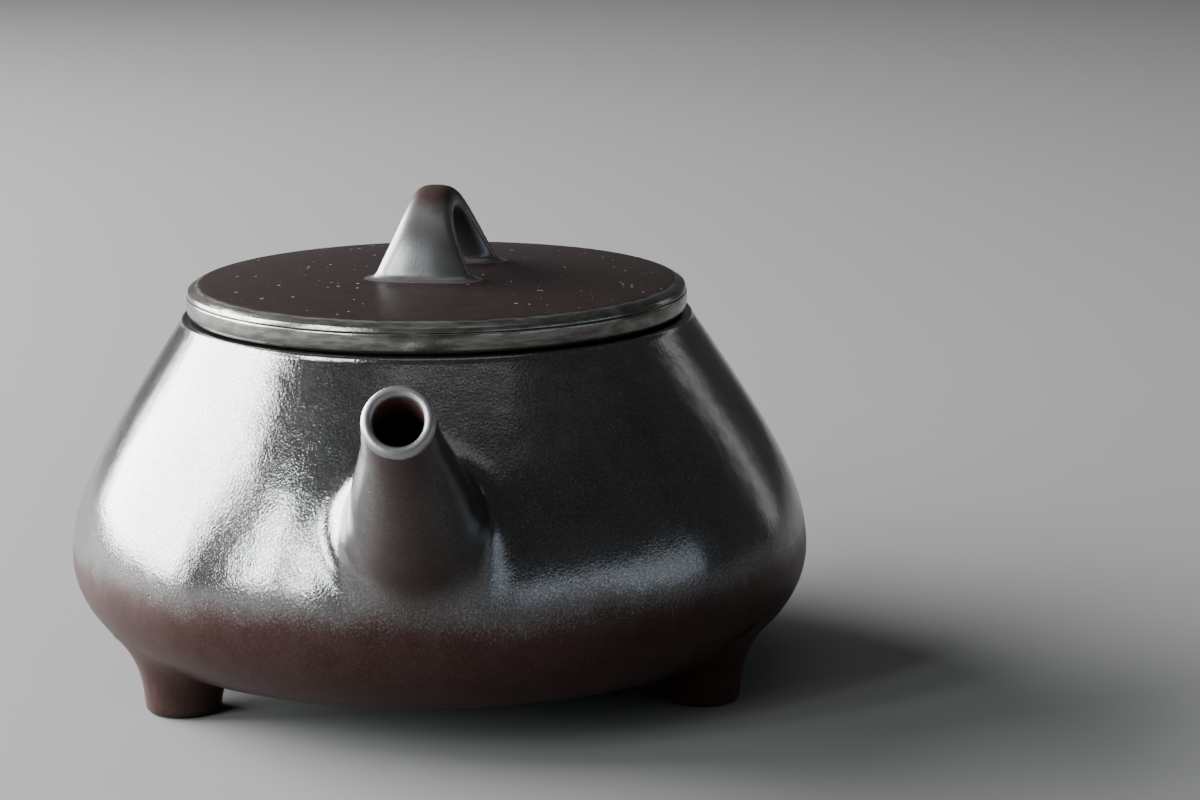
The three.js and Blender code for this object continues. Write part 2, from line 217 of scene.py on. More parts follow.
def joined(*runs):
    """Runs of points one after the other, without the points that two runs share."""
    points = np.vstack(runs)
    apart = np.linalg.norm(np.diff(points, axis=0), axis=1) > 1e-7
    return points[np.r_[True, apart]]


def right_of(points):
    """Unit vectors to the right of an outline, when it is walked from first to last."""
    way = np.gradient(points, axis=0)
    way /= np.linalg.norm(way, axis=1)[:, None]
    return np.column_stack([way[:, 1], -way[:, 0]])


def offset(points, distance):
    """An open outline moved to its right."""
    return points + distance * right_of(points)


def split_at(points, height):
    """A rising outline in two at a height. Short steps at the cut keep the shading even across it."""
    k = int(np.argmax(points[:, 1] > height))
    a, b = points[k - 1], points[k]
    at = a + (b - a) * (height - a[1]) / (b[1] - a[1])
    step = (b - a) * 0.02
    return np.vstack([points[:k], at - step, at]), np.vstack([at, at + step, points[k:]])


class Turned:
    """A surface turned about the pot's axis, walked so that the outside is on its right."""

    def __init__(self, outline):
        self.a, self.b = outline[:-1], outline[1:]
        self.normals = right_of(outline)

    def nearest(self, points):
        """Nearest point of the surface, its normal and the signed distance, for points (n, 3)."""
        radius = np.hypot(points[:, 0], points[:, 1])
        q = np.column_stack([radius, points[:, 2]])
        along = self.b - self.a
        t = np.einsum("nkj,kj->nk", q[:, None] - self.a, along) / (along**2).sum(1)
        t = np.clip(t, 0, 1)
        foot = self.a + t[..., None] * along
        gap = np.linalg.norm(q[:, None] - foot, axis=2)
        k = gap.argmin(1)
        rows = np.arange(len(q))
        share = t[rows, k][:, None]
        normal = self.normals[k] * (1 - share) + self.normals[k + 1] * share
        normal /= np.linalg.norm(normal, axis=1)[:, None]
        foot = foot[rows, k]
        distance = ((q - foot) * normal).sum(1)
        out = points[:, :2] / np.maximum(radius, 1e-9)[:, None]
        foot, normal = (np.column_stack([out * v[:, :1], v[:, 1]]) for v in (foot, normal))
        return foot, normal, distance


def pot_outline(s):
    """The outside of the body, from the middle of the base up to the mouth's top face."""
    risen = s.base_height + s.base_hollow
    hollow = bezier([(0, risen), (s.base_radius * 0.6, risen),
                     (s.base_radius * 0.9, s.base_height), (s.base_radius, s.base_height)], 40)
    under = arc((s.base_radius, s.belly_height),
                (s.belly_radius - s.base_radius, s.belly_height - s.base_height), -90, 0, 70)
    edge_low = s.mouth_height - s.mouth_round
    upper = bezier([(s.belly_radius, s.belly_height), (s.belly_radius, s.belly_height + s.belly_rise),
                    (s.mouth_radius + s.shoulder_bow, s.mouth_height - s.shoulder_drop),
                    (s.mouth_radius, edge_low)], 130)
    edge = arc((s.mouth_radius - s.mouth_round, edge_low), (s.mouth_round, s.mouth_round), 25, 90, 14)
    return joined(hollow, under, upper, edge)


def pot_host(s):
    """The body's outside, as what the spout, the handle and the feet are luted on."""
    return Turned(pot_outline(s))


def lid_foot(s):
    """Height of the lid's lowest outer edge."""
    return s.mouth_height + s.lid_gap


def lid_top_outline(s):
    """The top of the lid, from its middle outward, and its rounded edge, downward."""
    flat = s.lid_radius - s.lid_bulge
    top = lid_foot(s) + s.lid_edge
    brow = (flat - 0.8 * MM, top + 0.04 * MM)  # where the top starts to round over
    crown = bezier([(0, top + s.lid_crown), (flat / 2, top + s.lid_crown), brow], 60)
    corner = bezier([brow, (flat, top - HAIR), (s.lid_radius - 0.28 * MM, top - 0.75 * MM)], 12)
    half = s.lid_edge / 2
    middle = lid_foot(s) + half
    side = arc((flat, middle), (s.lid_bulge, half), 40, 0, 14)
    turn = np.radians(np.linspace(0, 90, 30))
    under = np.column_stack([flat + s.lid_bulge * np.cos(turn) ** 0.6, middle - half * np.sin(turn) ** 0.7])
    return crown, joined(corner, side, under)


# ---------------------------------------------------------------- meshes


def new_object(name, vertices, faces, smooth_angle=math.radians(50)):
    """A closed mesh as an object, with its normals outward and its hard edges marked."""
    mesh = bpy.data.meshes.new(name)
    mesh.from_pydata([tuple(map(float, v)) for v in vertices], [], faces)
    shape = bmesh.new()
    shape.from_mesh(mesh)
    bmesh.ops.remove_doubles(shape, verts=shape.verts, dist=1e-6)
    bmesh.ops.recalc_face_normals(shape, faces=shape.faces)
    shape.to_mesh(mesh)
    shape.free()
    piece = bpy.data.objects.new(name, mesh)
    bpy.context.scene.collection.objects.link(piece)
    smooth(piece, smooth_angle)
    return piece


def smooth(piece, sharp_angle):
    """Shades a piece smooth, except across edges sharper than an angle."""
    piece.data.shade_smooth()
    piece.data.set_sharp_from_angle(angle=sharp_angle)


def skin(rings, loop=False):
    """Vertices and faces over rings of equal count. loop joins the last ring to the first, and
    without it both ends are closed."""
    rings = np.asarray(rings, float)
    rows, count = rings.shape[:2]
    vertices = rings.reshape(-1, 3)
    index = np.arange(rows * count).reshape(rows, count)
    below = index if loop else index[:-1]
    above = np.roll(index, -1, axis=0) if loop else index[1:]
    quads = np.stack([below, np.roll(below, -1, 1), np.roll(above, -1, 1), above], -1).reshape(-1, 4)
    faces = quads.tolist()
    if not loop:
        faces += [index[0][::-1].tolist(), index[-1].tolist()]
    return vertices, faces


def upright_rings(profile, columns):
    """Rings about the axis, one for each point (radius, height) of a profile."""
    a = np.arange(columns) * TAU / columns
    r, z = profile[:, 0][:, None], profile[:, 1][:, None]
    return np.stack([r * np.cos(a), r * np.sin(a), z + 0 * a], -1)


def lathe(name, outline, segments, smooth_angle):
    """A closed outline (radius, height) turned about the axis."""
    return new_object(name, *skin(upright_rings(outline, segments), loop=True), smooth_angle)


def vertices_of(piece):
    """A piece's vertices as an array (n, 3)."""
    flat = np.zeros(len(piece.data.vertices) * 3)
    piece.data.vertices.foreach_get("co", flat)
    return flat.reshape(-1, 3)


def move_vertices(piece, points):
    piece.data.vertices.foreach_set("co", points.ravel())
    piece.data.update()


def hand_shaped(piece, s):
    """Gives a piece of the body the slow swells that a hand leaves, the same all over the pot."""
    p = vertices_of(piece)
    around, up = np.arctan2(p[:, 1], p[:, 0]), p[:, 2] / s.mouth_height
    swell = (
        np.sin(5 * around + 1.3 + 1.5 * up)
        + 0.8 * np.sin(9 * around + 4.1 - 2.2 * up)
        + 0.5 * np.sin(17 * around + 0.7 + 3.5 * up)
        + 0.6 * np.sin(3 * around + 11 * up)
    )
    reach = np.hypot(p[:, 0], p[:, 1])
    below_mouth = np.clip((s.mouth_height - 4 * MM - p[:, 2]) / (12 * MM), 0, 1)
    free = below_mouth * np.clip(p[:, 2] / (10 * MM), 0, 1)
    amount = s.hand_swell * swell * free * free * (3 - 2 * free) * np.clip(reach / (30 * MM), 0, 1)
    p[:, :2] *= (1 + (amount - 1.5 * s.hand_swell * free) / np.maximum(reach, 1e-6))[:, None]
    move_vertices(piece, p)


def boolean_cut(piece, cutter):
    """Cuts one mesh out of another and removes the cutter."""
    cut = piece.modifiers.new("cut", "BOOLEAN")
    cut.operation = "DIFFERENCE"
    cut.solver = "EXACT"
    cut.object = cutter
    graph = bpy.context.evaluated_depsgraph_get()
    made = bpy.data.meshes.new_from_object(piece.evaluated_get(graph))
    piece.modifiers.clear()
    piece.data = made
    bpy.data.objects.remove(cutter)


def crossing(rings, distance, level):
    """For each column of a tube, the fractional row at which it first comes as near as level."""
    rows = len(rings)
    near = distance < level
    k = np.clip(near.argmax(0), 1, rows - 1)
    column = np.arange(distance.shape[1])
    before, after = distance[k - 1, column], distance[k, column]
    return k - 1 + (before - level) / np.maximum(before - after, 1e-12)


def sampled(rings, at):
    """A ring across a tube, at one fractional row for each of its columns."""
    k = np.clip(at.astype(int), 0, len(rings) - 2)
    column = np.arange(rings.shape[1])
    share = (at - k)[:, None]
    return rings[k, column] * (1 - share) + rings[k + 1, column] * share


def rooted(rings, host, fillet, steps=15, sink=0.25 * MM):
    """Where the far end of a densely sampled tube enters its host: the row at which each column
    stops, and the rings of a fillet that ends flush with the host's surface and then dips into it."""
    flat = rings.reshape(-1, 3)
    distance = host.nearest(flat)[2].reshape(rings.shape[:2])
    made = []
    bend = bezier([(0, 1), (0, 0.6), (0, 0.22), (0.22, 0), (0.6, 0), (1, 0)], steps)
    for aside, above in bend:
        height = fillet * above
        base = sampled(rings, crossing(rings, distance, height))
        normal = host.nearest(base)[1]
        along = np.roll(base, -1, 0) - np.roll(base, 1, 0)
        out = np.cross(along, normal)
        out /= np.linalg.norm(out, axis=1)[:, None]
        if ((base - base.mean(0)) * out).sum() < 0:
            out = -out
        base = base + out * fillet * aside
        foot, normal, _ = host.nearest(base)
        made.append(foot + normal * height)
    foot, normal, _ = host.nearest(made[-1] + out * 0.1 * sink)
    made.append(foot - normal * sink)
    return crossing(rings, distance, fillet), np.array(made[1:])


def bridged(rings, host, fillet, count):
    """Rings of a tube with both ends rooted in its host, and count steps between the two roots."""
    half = len(rings) // 2
    stop, last = rooted(rings[half:], host, fillet)
    start, first = rooted(rings[half::-1], host, fillet)
    shaft = [sampled(rings, (half - start) + (start + stop) * k / count) for k in range(1, count)]
    return np.vstack([first[::-1], shaft, last])


def tube(path, side, size, squareness, columns, rows):
    """Rings of a rounded section along a path of points: size(t) gives half width and half depth."""
    gaps = np.linalg.norm(np.diff(path, axis=0), axis=1)
    at = np.r_[0, gaps.cumsum()]
    share = np.linspace(0, 1, rows)
    middle = np.column_stack([np.interp(share * at[-1], at, path[:, i]) for i in range(3)])
    tangent = np.gradient(middle, axis=0)
    tangent /= np.linalg.norm(tangent, axis=1)[:, None]
    depth_way = np.cross(tangent, side)
    a = np.arange(columns) * TAU / columns
    across, deep = (np.sign(x) * np.abs(x) ** squareness for x in (np.cos(a), np.sin(a)))
    half_width, half_depth = size(share)
    return (
        middle[:, None]
        + (half_width[:, None] * across)[..., None] * np.asarray(side)
        + (half_depth[:, None] * deep)[..., None] * depth_way[:, None]
    )


def curve_through(points, count):
    """A smooth curve through points, by centripetal Catmull-Rom spans."""
    p = np.asarray(points, float)
    p = np.vstack([2 * p[0] - p[1], p, 2 * p[-1] - p[-2]])
    knots = np.r_[0, (np.linalg.norm(np.diff(p, axis=0), axis=1) ** 0.5).cumsum()]

    def between(a, b, i, j, t):
        """On the line from a at knot i to b at knot j."""
        return ((knots[j] - t) * a + (t - knots[i]) * b) / (knots[j] - knots[i])

    made = []
    for i in range(1, len(p) - 2):
        t = np.linspace(knots[i], knots[i + 1], count, endpoint=False)[:, None]
        before, here, after = (between(p[k], p[k + 1], k, k + 1, t) for k in (i - 1, i, i + 1))
        early, late = between(before, here, i - 1, i + 1, t), between(here, after, i, i + 2, t)
        made.append(between(early, late, i, i + 1, t))
    made.append(p[-2:-1])
    return np.vstack(made)


def turned_about_axis(piece, turn):
    piece.data.transform(Matrix.Rotation(turn, 4, "Z"))


def second_finish(piece, picked):
    """Gives a piece's second finish to the faces that are picked, one truth value for each face."""
    for face, second in zip(piece.data.polygons, picked):
        face.material_index = int(second)


# ---------------------------------------------------------------- shader node groups


class Graph:
    """Short calls for building a node tree."""

    def __init__(self, tree):
        self.nodes = tree.nodes
        self.links = tree.links

    def node(self, kind, inputs=None, **settings):
        """A new node. Each input is a number or colour, or another node's output."""
        made = self.nodes.new(kind)
        for key, value in settings.items():
            setattr(made, key, value)
        for key, value in (inputs or {}).items():
            self.feed(value, made.inputs[key])
        return made

    def feed(self, value, socket):
        if isinstance(value, bpy.types.NodeSocket):
            self.links.new(value, socket)
        else:
            socket.default_value = value

    def math(self, operation, a, b=0.0):
        return self.node("ShaderNodeMath", {0: a, 1: b}, operation=operation).outputs[0]

    def mix(self, share, a, b):
        return self.node("ShaderNodeMix", {0: share, 6: a, 7: b}, data_type="RGBA").outputs[2]

    def mix_value(self, share, a, b):
        return self.node("ShaderNodeMix", {0: share, 2: a, 3: b}, data_type="FLOAT").outputs[0]

    def step(self, value, low_edge, high_edge, low_value=0.0, high_value=1.0):
        """Goes smoothly from one value to the other as the input goes from one edge to the other."""
        made = self.node(
            "ShaderNodeMapRange",
            {0: value, 1: low_edge, 2: high_edge, 3: low_value, 4: high_value},
            interpolation_type="SMOOTHSTEP",
        )
        return made.outputs[0]

    def noise(self, vector, scale, detail, roughness):
        inputs = {"Vector": vector, "Scale": scale, "Detail": detail, "Roughness": roughness}
        return self.node("ShaderNodeTexNoise", inputs).outputs["Fac"]

    def cells(self, vector, scale):
        inputs = {"Vector": vector, "Scale": scale, "Randomness": 1.0}
        return self.node("ShaderNodeTexVoronoi", inputs).outputs

    def plus_share(self, base, value, share):
        """base + value * share"""
        return self.math("ADD", base, self.math("MULTIPLY", value, share))

    def part(self, vector, axis):
        return self.node("ShaderNodeSeparateXYZ", {0: vector}).outputs[axis]

    def scaled(self, vector, scale):
        made = self.node("ShaderNodeVectorMath", {0: vector, 1: scale}, operation="MULTIPLY")
        return made.outputs[0]


def group(name, inputs, outputs, build):
    """A shader node group, built once. Inputs and outputs are (name, socket type, default)."""
    if name in bpy.data.node_groups:
        return bpy.data.node_groups[name]
    tree = bpy.data.node_groups.new(name, "ShaderNodeTree")
    for label, kind, default in inputs:
        socket = tree.interface.new_socket(label, in_out="INPUT", socket_type=kind)
        if default is not None:
            socket.default_value = default
    for label, kind in outputs:
        tree.interface.new_socket(label, in_out="OUTPUT", socket_type=kind)
    g = Graph(tree)
    entry = g.node("NodeGroupInput").outputs
    exit_node = g.node("NodeGroupOutput")
    for label, value in build(g, entry).items():
        g.feed(value, exit_node.inputs[label])
    return tree


FLOAT, VECTOR = "NodeSocketFloat", "NodeSocketVector"


def orange_peel_group():
    """Fine dimples of a fired skin, with slow waves and a few pinholes."""
    grain_scale, pinhole_scale = 5200.0, 300.0
    pinhole_rim, pinhole_floor, pinhole_depth = 0.075, 0.02, 1.6

    def build(g, entry):
        place = entry["Position"]
        fine = g.noise(place, entry["Fine Scale"], 2.0, 0.6)
        broad = g.noise(place, entry["Broad Scale"], 1.0, 0.4)
        grain = g.noise(place, grain_scale, 1.0, 0.5)
        relief = g.plus_share(g.math("MULTIPLY", fine, entry["Fine Depth"]), broad, entry["Broad Depth"])
        relief = g.plus_share(relief, grain, entry["Grain Depth"])
        cells = g.cells(place, pinhole_scale)
        chance = g.node("ShaderNodeSeparateColor", {0: cells["Color"]}).outputs[0]
        few = g.math("GREATER_THAN", chance, entry["Pinhole Rarity"])
        pits = g.math("MULTIPLY", g.step(cells["Distance"], pinhole_rim, pinhole_floor), few)
        relief = g.math("SUBTRACT", relief, g.math("MULTIPLY", pits, pinhole_depth))
        return {"Height": relief, "Pinholes": pits}

    return group(
        "Orange Peel",
        [("Position", VECTOR, None), ("Fine Scale", FLOAT, 2900.0), ("Fine Depth", FLOAT, 0.42),
         ("Broad Scale", FLOAT, 330.0), ("Broad Depth", FLOAT, 1.0), ("Grain Depth", FLOAT, 0.16),
         ("Pinhole Rarity", FLOAT, 0.93)],
        [("Height", FLOAT), ("Pinholes", FLOAT)],
        build,
    )


def blush_and_underside_shade_group():
    """Where the dark skin gives way to red-brown clay: below a height and along a cloudy border.
    It gives way more on what faces down, and that extra red-brown is painted shade."""
    cloud_reach, wisp_reach, grain_reach = 7 * MM, 1.5 * MM, 3 * MM
    mean_wander = 5.7 * MM
    shade_facing_down, shade_facing_out = -0.6, 0.1

    def build(g, entry):
        place = entry["Position"]
        cloud = g.noise(place, 55.0, 3.0, 0.55)
        wisps = g.noise(place, 260.0, 2.0, 0.6)
        grain = g.noise(place, 4400.0, 1.0, 0.5)
        wander = g.plus_share(g.math("MULTIPLY", cloud, cloud_reach), wisps, wisp_reach)
        wander = g.plus_share(wander, grain, grain_reach)
        lifted = g.math("ADD", g.part(place, "Z"), g.math("SUBTRACT", wander, mean_wander))
        mask = g.step(lifted, entry["Low"], entry["High"])
        # Painted shade: faces that turn downward lose the dark skin and take the dark red-brown.
        facing = g.plus_share(g.part(entry["Facing"], "Z"), cloud, 0.3)
        down_facing_shade = g.step(facing, shade_facing_down, shade_facing_out, entry["Underside Shade"], 1.0)
        return {"Skin": g.math("MULTIPLY", mask, down_facing_shade), "Cloud": cloud, "Wisps": wisps, "Grain": grain}

    return group(
        "Blush And Underside Shade",
        [("Position", VECTOR, None), ("Facing", VECTOR, None), ("Low", FLOAT, 16.5 * MM),
         ("High", FLOAT, 22.5 * MM), ("Underside Shade", FLOAT, 0.1)],
        [("Skin", FLOAT), ("Cloud", FLOAT), ("Wisps", FLOAT), ("Grain", FLOAT)],
        build,
    )


def rubbed_lip_group():
    """The rim of the spout, rubbed pale: all that lies past a plane across its mouth."""
    starts, full, fray = 81.55 * MM, 82.1 * MM, 0.4 * MM

    def build(g, entry):
        place = entry["Position"]
        past = g.node("ShaderNodeVectorMath", {0: place, 1: entry["Outward"]}, operation="DOT_PRODUCT")
        worn = g.math("SUBTRACT", g.noise(place, 1500.0, 2.0, 0.6), 0.5)
        return {"Rubbed": g.step(g.plus_share(past.outputs["Value"], worn, fray), starts, full)}

    return group(
        "Rubbed Lip",
        [("Position", VECTOR, None), ("Outward", VECTOR, (0.0, -0.866, 0.5))],
        [("Rubbed", FLOAT)],
        build,
    )


def dust_group():
    """Small pale specks and a thin powder that lie on a surface."""
    smallest, size_range = 0.06, 0.16

    def build(g, entry):
        place = entry["Position"]
        specks = g.cells(place, entry["Scale"])
        tint = g.node("ShaderNodeSeparateColor", {0: specks["Color"]})
        few = g.math("GREATER_THAN", tint.outputs[0], entry["Rarity"])
        size = g.math("MULTIPLY", g.math("POWER", tint.outputs[1], 2.5), size_range)
        spot = g.math("LESS_THAN", specks["Distance"], g.math("ADD", size, smallest))
        powder = g.step(g.noise(place, 2600.0, 1.0, 0.5), 0.68, 0.8)
        patch = g.step(g.noise(place, 90.0, 2.0, 0.6), 0.45, 0.75)
        haze = g.math("MULTIPLY", g.math("MULTIPLY", powder, patch), 0.45)
        mask = g.math("MAXIMUM", g.math("MULTIPLY", spot, few), haze)
        return {"Dust": g.math("MULTIPLY", mask, entry["Amount"])}

    return group(
        "Settled Dust",
        [("Position", VECTOR, None), ("Scale", FLOAT, 780.0), ("Rarity", FLOAT, 0.62),
         ("Amount", FLOAT, 0.7)],
        [("Dust", FLOAT)],
        build,
    )


def put_group(g, tree, **inputs):
    """Places a node group with its inputs. An underscore in a name stands for a space."""
    made = g.node("ShaderNodeGroup", node_tree=tree)
    for key, value in inputs.items():
        g.feed(value, made.inputs[key.replace("_", " ")])
    return made.outputs


def material(name, build):
    """A material with one Principled shader. build(g, shader, place) wires it."""
    if name in bpy.data.materials:
        return bpy.data.materials[name]
    made = bpy.data.materials.new(name)
    made.use_nodes = True
    g = Graph(made.node_tree)
    shader = g.nodes["Principled BSDF"]
    place = g.node("ShaderNodeTexCoord").outputs["Object"]
    build(g, shader, place)
    return made


def bump(g, shader, height, distance):
    """Feeds the shader's Normal from a height that stands for a distance in metres."""
    made = g.node("ShaderNodeBump", {"Height": height, "Distance": distance, "Strength": 1.0})
    g.links.new(made.outputs[0], shader.inputs["Normal"])


def rgba(c):
    """A colour with full alpha."""
    return (c[0], c[1], c[2], 1.0)


# ---------------------------------------------------------------- materials


def lustre_clay(c):
    """The pot's outer skin: dark and lustrous above the belly, red-brown and satin below it and, as painted
    shade, on faces that turn down.
    """

    def build(g, shader, place):
        peel = put_group(g, orange_peel_group(), Position=place)
        facing = g.node("ShaderNodeTexCoord").outputs["Normal"]
        fire = put_group(g, blush_and_underside_shade_group(), Position=place, Facing=facing)
        lip = put_group(g, rubbed_lip_group(), Position=place)["Rubbed"]
        dark = g.mix(g.step(fire["Cloud"], 0.35, 0.68), rgba(c.lustre), rgba(c.lustre_deep))
        dark = g.mix(g.step(fire["Grain"], 0.52, 0.75), dark, rgba(c.grain_bright))
        dark = g.mix(g.step(fire["Grain"], 0.47, 0.3), dark, rgba(c.grain_dark))
        low_clay = g.mix(g.step(fire["Wisps"], 0.35, 0.7), rgba(c.blush), rgba(c.blush_pale))
        low_clay = g.mix(g.step(fire["Grain"], 0.5, 0.72), low_clay, rgba(c.blush_grain))
        tone = g.mix(fire["Skin"], low_clay, dark)
        tone = g.mix(g.math("MULTIPLY", peel["Pinholes"], 0.8), tone, rgba(c.pinhole))
        g.links.new(g.mix(lip, tone, rgba(c.rubbed)), shader.inputs["Base Color"])
        metal = g.math("MAXIMUM", g.mix_value(fire["Skin"], 0.05, 0.95), lip)
        metal = g.math("MULTIPLY", metal, g.step(fire["Wisps"], 0.0, 0.7, 0.9, 1.0))
        g.links.new(metal, shader.inputs["Metallic"])
        shine = g.plus_share(0.095, fire["Grain"], 0.12)
        rough = g.mix_value(lip, g.mix_value(fire["Skin"], 0.40, shine), 0.42)
        rough = g.plus_share(rough, g.math("SUBTRACT", fire["Wisps"], 0.5), 0.03)
        g.links.new(rough, shader.inputs["Roughness"])
        shader.inputs["Specular IOR Level"].default_value = 0.2
        bump(g, shader, peel["Height"], 0.06 * MM)

    return material("lustre_clay", build)


def lid_band_clay(c):
    """The lid's rolled edge and its top: streaky lustre outside with painted shade where it turns under,
    satin brown within.
    """
    band_starts, band_full, fray = 30.7 * MM, 31.4 * MM, 0.6 * MM

    def build(g, shader, place):
        peel = put_group(g, orange_peel_group(), Position=place, Fine_Depth=0.35, Broad_Depth=0.8)
        dust = put_group(g, dust_group(), Position=place)
        x, y = g.part(place, "X"), g.part(place, "Y")
        radius = g.math("SQRT", g.plus_share(g.math("MULTIPLY", x, x), y, y))
        frayed = g.math("SUBTRACT", g.noise(place, 600.0, 2.0, 0.6), 0.5)
        band = g.step(g.plus_share(radius, frayed, fray), band_starts, band_full)
        streak = g.noise(g.scaled(place, (330.0, 330.0, 1700.0)), 1.0, 3.0, 0.6)
        metal_tone = g.mix(g.step(streak, 0.35, 0.65), rgba(c.band_pale), rgba(c.band_dark))
        facing = g.node("ShaderNodeTexCoord").outputs["Normal"]
        # Painted shade: faces of the edge that turn downward get the darker tone.
        down = g.step(g.part(facing, "Z"), 0.15, -0.75)
        metal_tone = g.mix(down, metal_tone, rgba(c.band_underside_shade))
        mottle = g.noise(place, 420.0, 3.0, 0.6)
        brown = g.mix(g.step(mottle, 0.3, 0.75), rgba(c.lid_brown), rgba(c.lid_mottle))
        brown = g.mix(dust["Dust"], brown, rgba(c.dust))
        g.links.new(g.mix(band, brown, metal_tone), shader.inputs["Base Color"])
        g.links.new(g.mix_value(band, 0.0, 0.85), shader.inputs["Metallic"])
        rough = g.mix_value(band, 0.42, g.plus_share(0.13, streak, 0.14))
        g.links.new(rough, shader.inputs["Roughness"])
        shader.inputs["Specular IOR Level"].default_value = 0.3
        bump(g, shader, peel["Height"], 0.05 * MM)

    return material("lid_clay", build)


def knob_clay(c):
    """The knob: lustre like the wall, browner along its top and at its feet, with a little dust."""
    top_starts, top_full = 59.5 * MM, 62.5 * MM
    feet_start, feet_full = 53.6 * MM, 52.4 * MM

    def build(g, shader, place):
        peel = put_group(g, orange_peel_group(), Position=place, Fine_Depth=0.2, Broad_Depth=0.2)
        dust = put_group(g, dust_group(), Position=place, Scale=420.0, Rarity=0.93, Amount=0.6)
        cloud = g.noise(place, 160.0, 3.0, 0.6)
        level = g.plus_share(g.part(place, "Z"), g.math("SUBTRACT", cloud, 0.5), 4 * MM)
        top = g.step(level, top_starts, top_full)
        feet = g.step(level, feet_start, feet_full)
        worn = g.math("MAXIMUM", top, g.math("MULTIPLY", feet, 0.7))
        dark = g.mix(g.step(cloud, 0.35, 0.65), rgba(c.lustre), rgba(c.lustre_deep))
        tone = g.mix(worn, dark, rgba(c.knob_brown))
        g.links.new(g.mix(dust["Dust"], tone, rgba(c.dust)), shader.inputs["Base Color"])
        g.links.new(g.mix_value(worn, 0.8, 0.1), shader.inputs["Metallic"])
        g.links.new(g.mix_value(worn, 0.3, 0.4), shader.inputs["Roughness"])
        bump(g, shader, peel["Height"], 0.05 * MM)

    return material("knob_clay", build)


def bare_clay(c):
    """Unglazed clay inside the pot, with the fine grit and the turning marks of the maker's rib."""

    def build(g, shader, place):
        grit = g.noise(place, 2200.0, 2.0, 0.6)
        mottle = g.noise(place, 120.0, 3.0, 0.6)
        marks = g.noise(g.scaled(place, (40.0, 40.0, 900.0)), 1.0, 2.0, 0.5)
        tone = g.mix(g.step(mottle, 0.3, 0.7), rgba(c.inner_clay), rgba(c.inner_shade))
        tone = g.mix(g.step(grit, 0.66, 0.74), tone, rgba(c.grit_pale))
        tone = g.mix(g.step(grit, 0.36, 0.3), tone, rgba(c.grit_dark))
        g.links.new(tone, shader.inputs["Base Color"])
        g.links.new(g.plus_share(0.62, mottle, 0.2), shader.inputs["Roughness"])
        bump(g, shader, g.plus_share(marks, grit, 0.4), 0.09 * MM)

    return material("bare_clay", build)


def floor_finish(c):
    """The floor: one pale matt tone, with clouds that can hardly be told from it."""

    def build(g, shader, place):
        cloud = g.noise(place, 3.0, 3.0, 0.5)
        paler = rgba([x * 1.06 for x in c.floor])
        g.links.new(g.mix(cloud, rgba(c.floor), paler), shader.inputs["Base Color"])
        shader.inputs["Roughness"].default_value = 0.75

    return material("pale_floor", build)


# ---------------------------------------------------------------- operators


def spout_axes(s):
    """Origin at the spout's mouth, and its sideways, upward and outward directions."""
    c, n = math.cos(s.spout_rise), math.sin(s.spout_rise)
    origin = np.array([0, -s.spout_reach, s.mouth_height - s.spout_level])
    return origin, np.array([1, 0, 0]), np.array([0, n, c]), np.array([0, -c, n])


def spout_rings(s, radii, depths, columns):
    """Rings about the spout's axis, each tilted as its mouth is cut."""
    origin, side, up, out = spout_axes(s)
    a = np.arange(columns) * TAU / columns
    r = np.asarray(radii)[:, None]
    x, y = r * np.cos(a), r * np.sin(a)
    z = -np.asarray(depths)[:, None] + y * math.tan(s.spout_cut)
    return origin + x[..., None] * side + y[..., None] * up + z[..., None] * out


def spout_length(s):
    """From the spout's mouth along its axis to the outside of the wall."""
    origin, _, _, out = spout_axes(s)
    depths = np.linspace(0, s.spout_reach, 600)
    distance = pot_host(s).nearest(origin - depths[:, None] * out)[2]
    return float(depths[np.argmax(distance < 0)])


class TeapotBuilder:
    """What every operator of the pot shares."""

    bl_options = {"REGISTER", "UNDO"}

    def finish_piece(self, piece, node, body, slot, *finishes):
        """Gives a piece its finishes, the body it rides on and the node of the frame it stands for."""
        for finish in finishes:
            piece.data.materials.append(finish)
        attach(piece, body)
        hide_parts(node)
        return {"FINISHED"}


class TEAPOT_OT_body_wall(TeapotBuilder, bpy.types.Operator):
    """Builds the body wall, with the hole behind the spout"""

    bl_idname = "teapot.body_wall"
    bl_label = "Body Wall"

    def execute(self, context):
        s, c = context.scene.teapot_sizes, context.scene.teapot_colours
        seam = s.base_radius - SEAM
        outer = pot_outline(s)
        outer = outer[np.argmax(outer[:, 0] > s.base_radius - HAIR):]
        outer = joined([(seam, s.base_height)], outer)
        body, _ = split_at(outer, s.mouth_height - s.mouth_ring)
        floor, top = s.base_height + s.base_thickness, body[-1, 1]
        inner = offset(body[1:], -s.wall)
        inner = inner[inner[:, 1] > floor]
        inner = inner[inner[:, 1] < top - HAIR][::3]
        run_out = [(inner[-1, 0] - HAIR, top)]
        outline = joined(body, run_out, inner[::-1], [(seam, floor)])
        piece = lathe("body_wall_skin", outline, 288, math.radians(60))
        depth = spout_length(s)
        hole = spout_rings(s, [s.spout_root_bore] * 2, [depth * 0.75, depth + 12 * MM], 48)
        boolean_cut(piece, new_object("spout_hole", *skin(hole)))
        smooth(piece, math.radians(60))
        hand_shaped(piece, s)
        centres = np.array([face.center for face in piece.data.polygons])
        second_finish(piece, pot_host(s).nearest(centres)[2] < -0.6 * MM)
        return self.finish_piece(
            piece, "body_wall", "pot", "dark_gloss_clay", lustre_clay(c), bare_clay(c)
        )


